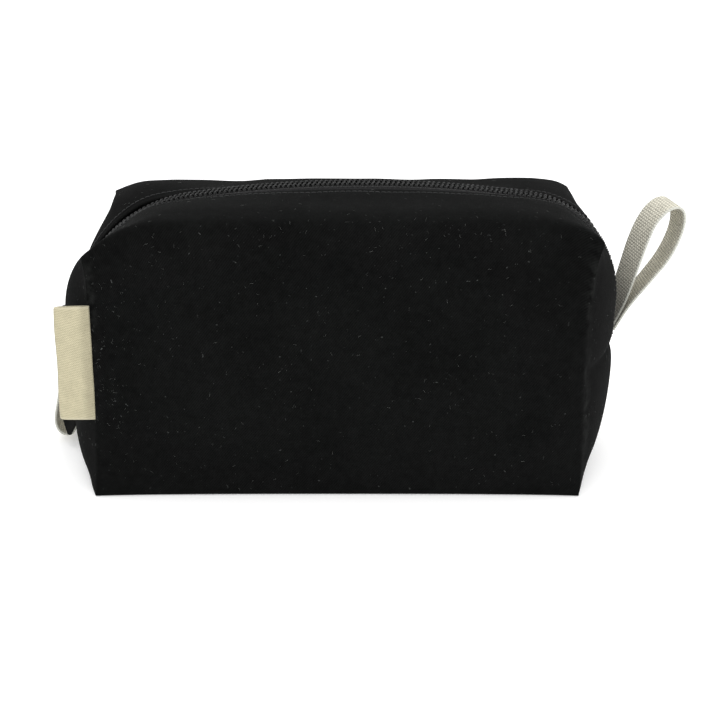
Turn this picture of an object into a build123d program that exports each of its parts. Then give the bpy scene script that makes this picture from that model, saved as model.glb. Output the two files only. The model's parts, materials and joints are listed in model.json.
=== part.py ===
"""Boxed zip pouch for shaving things: cloth shell, lining, coil zipper, two webbing loops and a label.

Millimetres. +X runs to the right end, +Y to the back, +Z up. The origin is the middle of the flat base.
The bag stands closed. Its zipper runs in the XZ plane, from the left end seam, over the top, to the right end seam.
"""

from build123d import *
import os
from math import cos, degrees, radians, sin, sqrt

# ---- overall form ------------------------------------------------------------------------------------
end_reach = 141.5            # centre plane to the outermost line of each end
corner_reach = 120.0         # centre plane to the box seams at the four corners
half_depth = 60.0            # centre plane to the front and back box seams
face_bulge = 2.5             # how far the front and back stand proud between their seams
side_bulge = 3.0             # how far they stand proud at half height
seam_height = 64.0           # the two end seams, halfway up the ends
ear_height = 124.0           # where the front and back turn in to the top
face_lean = 1.0              # how far in the faces have leaned at that height
brow_depth = 14.0            # how far in from the box seams the front and back become the top
brow_rise = 0.64             # brow's height, as a share of the way from the ears to the crest
belly_loss = 0.3             # share of an end's bulge that is gone halfway to the box seams
flat_margin = 2.0            # how far past the tapes the form stays straight
foot_radius = 5.0            # rounding between an end and the base

# ---- zipper line: left shoulder, top run, right shoulder, all tangent --------------------------------
left_shoulder_radius = 75.0
left_shoulder_height = 65.6  # height of the left shoulder's centre
right_shoulder_radius = 51.5
top_radius = 595.0
crest_x = 10.0               # where the top run is highest

# ---- cloth and zipper layers -------------------------------------------------------------------------
cloth = 1.4                  # outer twill with its turned edges
layer_gap = 0.15             # between two layers of the wall
tape_thickness = 0.8
lining = 0.7
chain_gap_half = 0.7         # half the gap between the two coils
coil_width = 3.9
coil_proud = 0.8             # coil's top above the cloth
slot_gap = 0.9               # slider's side to the folded cloth edge beside the chain
lining_setback = 2.0         # cloth's folded edge to the lining's
stitch_setback = 4.5         # cloth's folded edge to the row of topstitching
stitch_width = 0.6
stitch_proud = 0.3
tape_margin = 2.9            # topstitching to the outer edge of the tape

# ---- slider and pull ---------------------------------------------------------------------------------
slider_clearance = 0.35
neck_clearance = 0.28        # slider's neck to the coils
flange_clearance = 0.5       # slider's flanges to the coils
slider_seam_gap = 1.5        # slider's lower end to the end seam when the bag is closed
slider_length = 16.0
plate_thickness = 1.2
plate_corner = 3.0
flange_thickness = 1.0
flange_reach = 2.2           # how far a flange turns down from the top plate
neck_length = 6.0
neck_setback = 1.0           # slider's upper end to the neck
bridge_width = 3.0
bridge_length = 12.5
bridge_thickness = 1.2
bridge_corner = 2.5
crossbar_radius = 0.9
crossbar_play = 2.2          # free height under the bridge beside the crossbar
pivot_back = 4.0             # from the slider's middle to the crossbar, towards the end seam
pull_length = 62.5           # crossbar to tip
pull_thickness = 1.4
pull_point = 16.0            # length of the tapered tip
pull_tip_half = 0.8
pull_arm = 1.8               # width of the two arms beside the window
pull_gap = 1.2               # bridge to the arms
window_length = 8.0
pull_lean = 5.5              # degrees that the hanging pull leans in from the slider's plate

# ---- webbing loops and label -------------------------------------------------------------------------
webbing = 1.4
webbing_width = 20.0
loop_gap = 0.9               # slider's side to the front edge of both loops
root_gap = 0.6               # loop's root to the end of the bag
root_step = 1.0              # how far past the end seam the second end of a loop is sewn
right_rise = [(21.0, 67.0), (37.0, 69.0), (29.0, 37.0)]   # (out from the root, up from the end seam)
right_bends = [7.0, 8.0, 40.0]
left_hang = [(1.0, 22.0), (4.0, 4.0), (13.0, 6.0), (13.0, 28.0)]   # (out from the root, up from the floor)
left_bends = [20.0, 4.5, 5.5, 25.0]
label_width = 17.0
label_height = 60.0
label_thickness = 1.0
label_bottom = 40.0
label_gap = 0.5              # label to the corner seam it is sewn in

# ---- sizes that follow from the ones above -------------------------------------------------------------
FAR = 4 * end_reach                                     # past the bag on every side, for cutting boxes
coil_outer = chain_gap_half + coil_width
flange_inner = coil_outer + flange_clearance
slider_half_width = flange_inner + flange_thickness
slot_half = slider_half_width + slot_gap                # centre line to the folded cloth edge
lining_edge = slot_half + lining_setback
stitch_offset = slot_half + stitch_setback
tape_half = stitch_offset + stitch_width + tape_margin
form_flat = tape_half + flat_margin                     # centre line to where the form starts to curve away
tape_inset = cloth + layer_gap
lining_inset = tape_inset + tape_thickness + layer_gap
bridge_opening = 2 * crossbar_radius + crossbar_play
pull_width = bridge_width + 2 * pull_gap + 2 * pull_arm
loop_offset = slider_half_width + loop_gap


def top_centre():
    """Centre of the top run, placed so that it meets the left shoulder tangentially."""
    across = -end_reach + left_shoulder_radius - crest_x
    return crest_x, left_shoulder_height - sqrt((top_radius - left_shoulder_radius) ** 2 - across**2)


def left_centre():
    """Centre of the left shoulder, which is also the axis that the slider travels about."""
    return -end_reach + left_shoulder_radius, left_shoulder_height


def right_centre():
    """Centre of the right shoulder, tangent to the top run and to the right end."""
    x0, z0 = top_centre()
    x = end_reach - right_shoulder_radius
    return x, z0 + sqrt((top_radius - right_shoulder_radius) ** 2 - (x - x0) ** 2)


def on_ray(centre, through, radius):
    """The point at a radius from a centre, on the ray that runs through another point."""
    dx = through[0] - centre[0]
    dz = through[1] - centre[1]
    size = sqrt(dx * dx + dz * dz)
    return centre[0] + dx / size * radius, centre[1] + dz / size * radius


def on_circle(centre, radius, angle):
    """The point of a circle at an angle in degrees from +X."""
    return centre[0] + radius * cos(radians(angle)), centre[1] + radius * sin(radians(angle))


def front_view(inset):
    """Outline seen from the front, everywhere the same distance inside the cloth's face."""
    top, left, right = top_centre(), left_centre(), right_centre()
    r_top, r_left, r_right = top_radius - inset, left_shoulder_radius - inset, right_shoulder_radius - inset
    foot = foot_radius - inset
    reach = end_reach - inset
    left_join = on_ray(top, left, r_top)
    right_join = on_ray(top, right, r_top)
    corner = end_reach - foot_radius
    edges = [
        Line((-corner, inset), (corner, inset)),
        ThreePointArc((corner, inset), on_circle((corner, foot_radius), foot, -45), (reach, foot_radius)),
        Line((reach, foot_radius), (reach, right[1])),
        ThreePointArc((reach, right[1]), on_circle(right, r_right, 40), right_join),
        ThreePointArc(right_join, (top[0], top[1] + r_top), left_join),
        ThreePointArc(left_join, on_circle(left, r_left, 135), (-reach, left[1])),
        Line((-reach, left[1]), (-reach, foot_radius)),
        ThreePointArc((-reach, foot_radius), on_circle((-corner, foot_radius), foot, 225), (-corner, inset)),
    ]
    return make_face(edges)


def plan_view():
    """Outline seen from above: bulged ends that are flat beside the zipper, and slightly proud faces."""
    flat = form_flat
    belly = end_reach - belly_loss * (end_reach - corner_reach)
    edges = []
    for side in (1, -1):
        c, f, b = side * corner_reach, side * end_reach, side * belly
        edges += [
            ThreePointArc((-c, -side * half_depth), (0, -side * (half_depth + face_bulge)), (c, -side * half_depth)),
            ThreePointArc((c, -side * half_depth), (b, -side * (flat + half_depth) / 2), (f, -side * flat)),
            Line((f, -side * flat), (f, side * flat)),
            ThreePointArc((f, side * flat), (b, side * (flat + half_depth) / 2), (c, side * half_depth)),
        ]
    return make_face(edges)


def end_view():
    """Outline seen from the end: upright faces, rounded shoulders, and a top that the zipper line cuts off."""
    flat = form_flat
    crest = top_centre()[1] + top_radius + flat_margin
    brow = half_depth - brow_depth
    brow_height = ear_height + brow_rise * (crest - ear_height)
    ear = half_depth - face_lean
    edges = [Line((-half_depth, 0), (half_depth, 0)), Line((flat, crest), (-flat, crest))]
    for side in (1, -1):
        edges += [
            ThreePointArc((side * half_depth, 0), (side * (half_depth + side_bulge), ear_height / 2),
                          (side * ear, ear_height)),
            ThreePointArc((side * ear, ear_height), (side * brow, brow_height), (side * flat, crest)),
        ]
    return make_face(edges)


def inward(face, inset):
    """A face shrunk by an inset, with its corners kept sharp."""
    if inset == 0:
        return face
    return offset(face, amount=-inset, kind=Kind.INTERSECTION)


def bag_form(inset):
    """The solid form of the bag at a distance inside its outer face."""
    side = extrude(Plane.XZ * front_view(inset), amount=FAR, both=True)
    plan = extrude(inward(plan_view(), inset), amount=FAR, both=True)
    end = extrude(Plane.YZ * inward(end_view(), inset), amount=FAR, both=True)
    return side & plan & end


def block(x, y, z):
    """An upright box from pairs of limits."""
    size = (x[1] - x[0], y[1] - y[0], z[1] - z[0])
    return Pos((x[0] + x[1]) / 2, (y[0] + y[1]) / 2, (z[0] + z[1]) / 2) * Box(*size)


def band(inner, outer, y, lowest):
    """A strip that follows the zipper line between two insets, from one end seam over the top to the other."""
    ring = extrude(Plane.XZ * (front_view(outer) - front_view(inner)), amount=FAR, both=True)
    return ring & block((-FAR, FAR), y, (lowest, FAR))


def cloth_panels():
    """The outer cloth, split where it folds or is sewn, so that each node is one simple curved sheet."""
    shell = bag_form(0) - bag_form(cloth)
    shell -= block((-FAR, FAR), (-slot_half, slot_half), (seam_height, FAR))
    seam_x = corner_reach - cloth
    brow = half_depth - brow_depth
    mid = (-seam_x, seam_x)
    back = (0, FAR)
    ends = {"left": (-FAR, -seam_x), "right": (seam_x, FAR)}
    panels = {
        "base_panel": shell & block((-FAR, FAR), (-FAR, FAR), (0, cloth)),
        "back_panel": shell & block(mid, (brow, FAR), (cloth, FAR)),
        "top_panel_back": shell & block(mid, (0, brow), (cloth, FAR)),
    }
    for side, reach in ends.items():
        panels[f"{side}_end_lower"] = shell & block(reach, (-FAR, FAR), (cloth, seam_height))
        panels[f"{side}_end_upper_back"] = shell & block(reach, back, (seam_height, FAR))
    return with_front_halves(panels)


def with_front_halves(panels):
    """Adds the front twin of every piece named for the back half: the bag is the same front to back."""
    twins = {}
    for name, solid in panels.items():
        if "back" in name:
            twins[name.replace("back", "front")] = mirror(solid, about=Plane.XZ)
    return {**panels, **twins}


def lining_halves():
    """The lining, a thinner bag inside the cloth, cut in a front and a back half."""
    shell = bag_form(lining_inset) - bag_form(lining_inset + lining)
    shell -= block((-FAR, FAR), (-lining_edge, lining_edge), (seam_height, FAR))
    return with_front_halves({"lining_back": shell & block((-FAR, FAR), (0, FAR), (0, FAR))})


def zipper_strips():
    """Two tapes under the cloth, a coil on each tape's inner edge, and a row of topstitching beside each."""
    strips = {}
    for name, side in (("front", -1), ("back", 1)):
        tape_y = sorted((side * chain_gap_half, side * tape_half))
        coil_y = sorted((side * chain_gap_half, side * coil_outer))
        stitch_y = sorted((side * stitch_offset, side * (stitch_offset + stitch_width)))
        strips[f"zipper_tape_{name}"] = band(tape_inset + tape_thickness, tape_inset, tape_y, seam_height)
        strips[f"zipper_coil_{name}"] = band(tape_inset, -coil_proud, coil_y, seam_height)
        strips[f"topstitch_{name}"] = band(0, -stitch_proud, stitch_y, seam_height)
    return strips


def slider_frame():
    """Plane on the cloth's face under the slider: x along its travel, z outwards."""
    centre = left_centre()
    rise = seam_height + slider_seam_gap + slider_length / 2 - left_shoulder_height
    angle = 180 - degrees(rise / left_shoulder_radius)
    x, z = on_circle(centre, left_shoulder_radius, angle)
    along = (sin(radians(angle)), 0, -cos(radians(angle)))
    outward = (cos(radians(angle)), 0, sin(radians(angle)))
    return Plane(origin=(x, 0, z), x_dir=along, z_dir=outward)


def slider_parts():
    """Slider body that wraps both coils, the bridge on top of it, and the pull that hangs from the bridge."""
    half = slider_length / 2
    sagitta = half**2 / (2 * left_shoulder_radius)
    under = coil_proud + slider_clearance
    upper = under + plate_thickness
    below = tape_inset + tape_thickness + slider_clearance + sagitta
    top_plate = block((-half, half), (-slider_half_width, slider_half_width), (under, upper))
    bottom_plate = block((-half, half), (-slider_half_width, slider_half_width),
                         (-below - plate_thickness, -below))
    neck_half = chain_gap_half - neck_clearance
    neck_end = half - neck_setback
    neck = block((neck_end - neck_length, neck_end), (-neck_half, neck_half), (-below, under))
    flanges = [
        block((-half, half), (flange_inner, slider_half_width), (under - flange_reach, under)),
        block((-half, half), (-slider_half_width, -flange_inner), (under - flange_reach, under)),
    ]
    rounded = [fillet(plate.edges().filter_by(Axis.Z), plate_corner) for plate in (top_plate, bottom_plate)]
    outline = extrude(rounded[0].faces().sort_by(Axis.Z)[-1], amount=-upper - below - plate_thickness)
    body = (rounded[0] + rounded[1] + neck + flanges[0] + flanges[1]) & outline

    arch_top = upper + bridge_opening + bridge_thickness
    arch = extrude(Plane.XZ * Pos(0, upper + (arch_top - upper) / 2) * RectangleRounded(
        bridge_length, arch_top - upper, bridge_corner), amount=bridge_width / 2, both=True)
    arch += block((-bridge_length / 2, bridge_length / 2), (-bridge_width / 2, bridge_width / 2),
                  (upper, upper + bridge_corner))
    hollow = bridge_length / 2 - bridge_thickness
    arch -= extrude(Plane.XZ * Pos(0, upper + bridge_opening / 2) * Rectangle(
        2 * hollow, bridge_opening), amount=bridge_width, both=True)

    pivot_height = upper + bridge_opening / 2
    pull = Pos(-pivot_back, 0, pivot_height) * Rot(0, -pull_lean, 0) * pull_tab()
    frame = slider_frame()
    return {"slider_body": frame * body, "slider_bridge": frame * arch, "pull_tab": frame * pull}


def pull_tab():
    """Long pull with its crossbar at the origin and its pointed tip along -X."""
    start = crossbar_radius
    shoulder = -(pull_length - pull_point)
    half = pull_width / 2
    outline = make_face(Polyline(
        (start, -half), (start, half), (shoulder, half), (-pull_length, pull_tip_half),
        (-pull_length, -pull_tip_half), (shoulder, -half), close=True))
    plate = extrude(outline, amount=pull_thickness / 2, both=True)
    window = block((-crossbar_radius - window_length, FAR), (-half + pull_arm, half - pull_arm),
                   (-pull_thickness, pull_thickness))
    crossbar = Rot(90, 0, 0) * Cylinder(crossbar_radius, pull_width)
    return plate - window + crossbar


def strap(path):
    """A webbing band swept along a path in the XZ plane, just behind the zipper."""
    route = Plane.XZ * path
    start = Plane(origin=route @ 0, x_dir=(0, 1, 0), z_dir=route % 0)
    solid = sweep(start * Rectangle(webbing_width, webbing), path=route)
    return Pos(0, loop_offset + webbing_width / 2, 0) * solid


def loops():
    """Two doubled webbing loops sewn in the end seams: the right one stands up, the left one hangs."""
    root = end_reach + root_gap + webbing / 2
    leg = webbing + layer_gap
    right = FilletPolyline(
        (root, seam_height), *[(root + out, seam_height + up) for out, up in right_rise],
        (root + leg, seam_height - root_step), radius=right_bends)
    left = FilletPolyline(
        (-root, seam_height), *[(-root - out, up) for out, up in left_hang],
        (-root - leg, seam_height + root_step), radius=left_bends)
    return {"webbing_loop_right": strap(right), "webbing_loop_left": strap(left)}


def label():
    """Folded cloth label that stands out to the left from the front corner seam."""
    x = -corner_reach - label_gap
    y = -half_depth - label_gap
    return block((x - label_width, x), (y - label_thickness, y), (label_bottom, label_bottom + label_height))


def build():
    """Every node's solid by name."""
    nodes = cloth_panels()
    nodes.update(lining_halves())
    nodes.update(zipper_strips())
    nodes.update(slider_parts())
    nodes.update(loops())
    nodes["label"] = label()
    return nodes


os.makedirs("parts", exist_ok=True)
for node, shape in build().items():
    export_step(shape, f"parts/{node}.step")
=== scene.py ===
"""Studio scene of a boxed zip pouch for shaving things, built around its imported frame."""

import json
import logging
import math
from dataclasses import dataclass, field
from enum import Enum
from typing import Callable, Sequence

import bmesh
import bpy
import numpy as np
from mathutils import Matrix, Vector
from mathutils.bvhtree import BVHTree


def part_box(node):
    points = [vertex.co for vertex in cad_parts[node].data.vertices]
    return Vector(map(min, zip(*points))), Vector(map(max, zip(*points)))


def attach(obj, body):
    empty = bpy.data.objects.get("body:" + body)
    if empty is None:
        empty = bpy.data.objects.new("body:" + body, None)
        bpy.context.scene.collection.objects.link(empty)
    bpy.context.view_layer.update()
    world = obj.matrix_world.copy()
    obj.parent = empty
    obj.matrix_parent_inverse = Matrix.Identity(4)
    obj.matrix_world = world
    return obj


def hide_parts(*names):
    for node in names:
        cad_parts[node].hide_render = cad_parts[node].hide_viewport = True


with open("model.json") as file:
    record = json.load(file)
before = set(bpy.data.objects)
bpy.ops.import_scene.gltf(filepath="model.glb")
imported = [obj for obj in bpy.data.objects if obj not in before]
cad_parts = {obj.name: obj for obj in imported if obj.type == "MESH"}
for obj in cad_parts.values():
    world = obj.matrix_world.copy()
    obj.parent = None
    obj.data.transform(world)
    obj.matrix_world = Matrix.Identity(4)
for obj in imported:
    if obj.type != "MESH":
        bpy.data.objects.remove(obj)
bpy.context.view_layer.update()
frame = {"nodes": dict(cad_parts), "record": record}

LOG = logging.getLogger("pouch")
MM = 0.001


class End(Enum):
    """The two ends of the bag, by the sign of X."""

    LEFT = -1
    RIGHT = 1


class Half(Enum):
    """The two sides of the zipper, by the sign of Y."""

    FRONT = -1
    BACK = 1

    @property
    def word(self) -> str:
        """The half's name as the frame's nodes spell it."""
        return self.name.lower()


# ---------------------------------------------------------------------------------------------------------
# Node graphs


class Graph:
    """Adds nodes to a tree and wires them, each in one call."""

    def __init__(self, tree: bpy.types.NodeTree) -> None:
        """Starts an empty graph.

        Args:
            tree: The node tree to fill.
        """
        self.tree = tree
        tree.nodes.clear()

    def add(self, kind: str, *inputs: object, out: int | str = 0, **settings: object) -> bpy.types.NodeSocket:
        """Adds a node, fills its inputs in order and returns one of its outputs.

        Args:
            kind: The node's type name.
            inputs: Sockets to link or values to set, in the node's own order; None skips one.
            out: Which output to return.
            settings: Node properties, or inputs by name when they start with in_.

        Returns:
            The chosen output socket.
        """
        node = self.tree.nodes.new(kind)
        for key, value in settings.items():
            if not key.startswith("in_"):
                setattr(node, key, value)
        for socket, value in zip(node.inputs, inputs):
            self.feed(socket, value)
        for key, value in settings.items():
            if key.startswith("in_"):
                self.feed(node.inputs[key[3:].replace("_", " ")], value)
        return node.outputs[out] if len(node.outputs) else node

    def feed(self, socket: bpy.types.NodeSocket, value: object) -> None:
        """Links a socket or sets its value.

        Args:
            socket: The input to feed.
            value: Another socket, a plain value, or None to leave it.
        """
        if value is None:
            return
        if isinstance(value, bpy.types.NodeSocket):
            self.tree.links.new(value, socket)
        else:
            socket.default_value = value

    def math(self, operation: str, *inputs: object) -> bpy.types.NodeSocket:
        """Adds a Math node and returns its value."""
        return self.add("ShaderNodeMath", *inputs, operation=operation)

    def times(self, a: object, b: object) -> bpy.types.NodeSocket:
        """Multiplies two values."""
        return self.math("MULTIPLY", a, b)

    def plus(self, a: object, b: object) -> bpy.types.NodeSocket:
        """Adds two values."""
        return self.math("ADD", a, b)

    def swing(self, noise: bpy.types.NodeSocket, amount: float) -> bpy.types.NodeSocket:
        """A noise's swing about its middle, times an amount."""
        return self.times(self.math("SUBTRACT", noise, 0.5), amount)

    def vector(self, operation: str, *inputs: object, out: int = 0) -> bpy.types.NodeSocket:
        """Adds a Vector Math node and returns one of its outputs."""
        return self.add("ShaderNodeVectorMath", *inputs, operation=operation, out=out)

    def scale(self, colour: object, amount: object) -> bpy.types.NodeSocket:
        """Multiplies a colour or a vector by one number."""
        return self.add("ShaderNodeVectorMath", colour, operation="SCALE", in_Scale=amount)

    def noise(self, place: bpy.types.NodeSocket, scale: float, detail: float,
              out: int | str = 0) -> bpy.types.NodeSocket:
        """Adds a Noise Texture and returns one of its outputs."""
        return self.add("ShaderNodeTexNoise", place, in_Scale=scale, in_Detail=detail, out=out)

    def attribute(self, name: str) -> bpy.types.NodeSocket:
        """The number that a piece has stored under a name."""
        return self.add("ShaderNodeAttribute", attribute_name=name, out="Fac")

    def ramp(self, value: bpy.types.NodeSocket, low: float, high: float,
             to_low: float = 0.0, to_high: float = 1.0) -> bpy.types.NodeSocket:
        """Maps a value smoothly from one range to another."""
        return self.add("ShaderNodeMapRange", value, low, high, to_low, to_high, interpolation_type="SMOOTHSTEP")

    def mix(self, factor: object, a: object, b: object) -> bpy.types.NodeSocket:
        """Mixes two colours.

        Args:
            factor: The share of the second colour.
            a: The first colour.
            b: The second colour.

        Returns:
            The mixed colour.
        """
        node = self.tree.nodes.new("ShaderNodeMix")
        node.data_type = "RGBA"
        for socket, value in zip((node.inputs[0], node.inputs[6], node.inputs[7]), (factor, a, b)):
            self.feed(socket, value)
        return node.outputs[2]


def rgb(level: Sequence[float]) -> tuple[float, float, float, float]:
    """An opaque colour from three linear values."""
    return (level[0], level[1], level[2], 1.0)


# ---------------------------------------------------------------------------------------------------------
# Finishes


@dataclass(frozen=True)
class Finish:
    """What every finish has: a name, a colour and a roughness."""

    name: str
    colour: tuple[float, float, float]
    roughness: float = 0.9

    def make(self) -> bpy.types.Material:
        """Builds the material.

        Returns:
            The finished material.
        """
        material = bpy.data.materials.new(self.name)
        material.use_nodes = True
        graph = Graph(material.node_tree)
        shader = graph.add("ShaderNodeBsdfPrincipled", in_Roughness=self.roughness)
        self.dress(graph, shader.node)
        graph.add("ShaderNodeOutputMaterial", shader)
        return material

    def dress(self, graph: Graph, shader: bpy.types.Node) -> None:
        """Feeds the shader's colour, roughness and normal. Each finish has its own."""
        raise NotImplementedError

    @staticmethod
    def emboss(graph: Graph, shader: bpy.types.Node, strength: float, depth: float,
               height: bpy.types.NodeSocket) -> None:
        """Raises the surface by a height, to a depth in metres."""
        bump = graph.add("ShaderNodeBump", in_Strength=strength, in_Distance=depth, in_Height=height)
        graph.feed(shader.inputs["Normal"], bump)


@dataclass(frozen=True)
class TwillFinish(Finish):
    """Black cotton twill: a fine diagonal rib, faint mottling, rubbed folds and clinging lint."""

    rib_pitch: float = 1.0 * MM
    rib_height: float = 0.10 * MM
    rib_run: tuple[float, float, float] = (0.76, -0.65, 0.0)
    warp_pitch: float = 0.62 * MM
    warp_run: tuple[float, float, float] = (1.0, 0.25, 0.0)
    sheen: float = 0.007
    sheen_roughness: float = 0.6
    specular: float = 0.028
    lint_bend: float = 0.006
    lint_share: float = 0.55
    speck: tuple[float, float, float] = (0.085, 0.090, 0.087)
    rubbed: tuple[float, float, float] = (0.020, 0.021, 0.020)

    def dress(self, graph: Graph, shader: bpy.types.Node) -> None:
        """Twill rib from the cloth's own UV map, in metres; lint and wear from stored attributes.

        Args:
            graph: The material's graph.
            shader: The shader to feed.
        """
        uv = graph.add("ShaderNodeUVMap", uv_map="cloth")
        place = graph.add("ShaderNodeTexCoord", out="Object")
        rib = self.stripes(graph, uv, self.rib_run, self.rib_pitch)
        warp = self.stripes(graph, uv, self.warp_run, self.warp_pitch)
        slub = graph.noise(place, 900.0, 2.0)
        weave = graph.plus(graph.times(rib, 0.7), graph.times(warp, 0.3))
        weave = graph.plus(weave, graph.swing(slub, 2.6))

        cloud = graph.noise(place, 22.0, 4.0)
        fine = graph.noise(place, 240.0, 3.0)
        tone = graph.plus(graph.ramp(cloud, 0.3, 0.7, 0.82, 1.12),
                          graph.swing(fine, 0.9))
        tone = graph.times(tone, graph.ramp(weave, -1.6, 1.6, 0.62, 1.38))
        cloth = graph.scale(self.colour, tone)

        wear = graph.times(graph.attribute("wear"), graph.ramp(fine, 0.35, 0.75))
        cloth = graph.mix(graph.times(wear, 0.8), cloth, rgb(self.rubbed))
        graph.feed(shader.inputs["Base Color"], graph.mix(self.lint_mask(graph, place), cloth, rgb(self.speck)))
        shader.inputs["Sheen Weight"].default_value = self.sheen
        shader.inputs["Sheen Roughness"].default_value = self.sheen_roughness
        shader.inputs["Specular IOR Level"].default_value = self.specular
        self.emboss(graph, shader, 0.5, self.rib_height, weave)

    @staticmethod
    def stripes(graph: Graph, uv: bpy.types.NodeSocket, run: tuple[float, float, float],
                pitch: float) -> bpy.types.NodeSocket:
        """A sine wave along one direction of the cloth.

        Args:
            graph: The material's graph.
            uv: The cloth's map.
            run: The direction in the map that the wave counts along.
            pitch: Length of one wave.

        Returns:
            The wave, from -1 to 1.
        """
        along = graph.vector("DOT_PRODUCT", uv, run, out=1)
        return graph.math("SINE", graph.times(along, 2 * math.pi / pitch))

    def lint_mask(self, graph: Graph, place: bpy.types.NodeSocket) -> bpy.types.NodeSocket:
        """Scattered specks and short bent fibres, thicker where the lint attribute is high.

        Args:
            graph: The material's graph.
            place: Object coordinates.

        Returns:
            A mask from 0 to 1.
        """
        amount = graph.attribute("lint")
        bend = graph.vector("SUBTRACT", graph.noise(place, 260.0, 1.0, out="Color"), (0.5, 0.5, 0.5))
        bent = graph.vector("ADD", place, graph.scale(bend, self.lint_bend))
        total = None
        # Each layer: its scale, its turn, how large a speck is in its cell, and how rare specks are.
        layers = (
            ((210.0, 210.0, 210.0), (0.0, 0.0, 0.0), 0.10, 0.93),
            ((90.0, 90.0, 520.0), (0.3, 0.5, 0.2), 0.06, 0.96),
            ((420.0, 420.0, 420.0), (0.7, 0.1, 0.4), 0.15, 0.93),
        )
        for scale, turn, radius, rarity in layers:
            spot = graph.add("ShaderNodeMapping", bent, None, turn, scale)
            cells = graph.add("ShaderNodeTexVoronoi", spot, in_Scale=1.0, out="Distance")
            seed = graph.vector("DOT_PRODUCT", cells.node.outputs["Color"], (1.0, 0.0, 0.0), out=1)
            cut = graph.math("SUBTRACT", rarity, graph.times(amount, self.lint_share))
            chosen = graph.math("GREATER_THAN", seed, cut)
            near = graph.ramp(cells, radius * 0.4, radius, 1.0, 0.0)
            mark = graph.times(chosen, near)
            total = mark if total is None else graph.math("MAXIMUM", total, mark)
        fade = graph.noise(place, 90.0, 1.0)
        return graph.times(total, graph.ramp(fade, 0.35, 0.75, 0.15, 0.75))


@dataclass(frozen=True)
class WovenFinish(Finish):
    """A plain coarse weave on the piece's own UV map, for webbing, label, tape and lining."""

    pitch: float = 1.3 * MM
    height: float = 0.25 * MM
    shade: float = 0.65
    sheen: float = 0.1
    specular: float = 0.15
    diagonal: bool = False
    skew: float = 0.8
    # How dark the colour goes where the root attribute is 1: painted shade where a strap or label goes into its seam.
    worn: float = 0.55
    ribbed: float = 0.4
    selvedge: tuple[float, float, float] | None = None

    def dress(self, graph: Graph, shader: bpy.types.Node) -> None:
        """Rows of over and under threads, with uneven yarn.

        Args:
            graph: The material's graph.
            shader: The shader to feed.
        """
        uv = graph.add("ShaderNodeUVMap", uv_map="cloth")
        place = graph.add("ShaderNodeTexCoord", out="Object")
        parts = graph.add("ShaderNodeSeparateXYZ", uv)
        along = parts.node.outputs[1]
        across = parts.node.outputs[0]
        if self.diagonal:
            along = graph.math("SUBTRACT", along, graph.times(across, 0.5))
        turn = 2 * math.pi / self.pitch
        pick = graph.math("SINE", graph.times(along, turn))
        end = graph.math("SINE", graph.times(across, turn * self.skew))
        weave = graph.times(pick, end)
        body = graph.math("ABSOLUTE", pick)
        height = graph.plus(graph.times(weave, 1 - self.ribbed),
                            graph.times(body, self.ribbed))
        yarn = graph.noise(place, 1200.0, 3.0)
        height = graph.plus(height, graph.swing(yarn, 1.2))
        mottle = graph.noise(place, 160.0, 3.0)
        tone = graph.times(graph.ramp(height, -0.45, 0.75, self.shade, 1.1),
                          graph.ramp(mottle, 0.25, 0.75, 0.93, 1.05))
        colour = graph.scale(self.colour, tone)
        if self.selvedge is not None:
            colour = graph.mix(graph.times(graph.attribute("selvedge"), 0.7), colour, rgb(self.selvedge))
            # Painted shade: the colour darkens towards the sewn root, down to the worn factor.
            colour = graph.scale(colour, graph.ramp(graph.attribute("root"), 0.0, 1.0, 1.0, self.worn))
        graph.feed(shader.inputs["Base Color"], colour)
        shader.inputs["Sheen Weight"].default_value = self.sheen
        shader.inputs["Specular IOR Level"].default_value = self.specular
        self.emboss(graph, shader, 0.6, self.height, height)


@dataclass(frozen=True)
class SmoothFinish(Finish):
    """A smooth hard finish, moulded or enamelled, with faint handling marks."""

    grain: float = 700.0
    peel: float = 0.05 * MM
    specular: float = 0.5

    def dress(self, graph: Graph, shader: bpy.types.Node) -> None:
        """Fine speckle in colour and roughness, and a trace of orange peel.

        Args:
            graph: The material's graph.
            shader: The shader to feed.
        """
        place = graph.add("ShaderNodeTexCoord", out="Object")
        speck = graph.noise(place, self.grain, 3.0)
        graph.feed(shader.inputs["Base Color"], graph.scale(self.colour, graph.ramp(speck, 0.3, 0.7, 0.75, 1.3)))
        smear = graph.noise(place, self.grain * 0.25, 2.0)
        graph.feed(shader.inputs["Roughness"],
                   graph.ramp(smear, 0.3, 0.7, self.roughness * 0.8, self.roughness * 1.25))
        shader.inputs["Specular IOR Level"].default_value = self.specular
        self.emboss(graph, shader, 0.15, self.peel, speck)


@dataclass(frozen=True)
class FloorFinish(Finish):
    """Matte white sweep that glows a little, so that shadows on it stay faint."""

    glow: float = 0.3

    def dress(self, graph: Graph, shader: bpy.types.Node) -> None:
        """A very faint mottle, so that the paper isn't dead flat.

        Args:
            graph: The material's graph.
            shader: The shader to feed.
        """
        place = graph.add("ShaderNodeTexCoord", out="Object")
        mottle = graph.noise(place, 3.0, 2.0)
        colour = graph.scale(self.colour, graph.ramp(mottle, 0.2, 0.8, 0.99, 1.01))
        graph.feed(shader.inputs["Base Color"], colour)
        shader.inputs["Specular IOR Level"].default_value = 0.0
        graph.feed(shader.inputs["Emission Color"], colour)
        shader.inputs["Emission Strength"].default_value = self.glow


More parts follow.
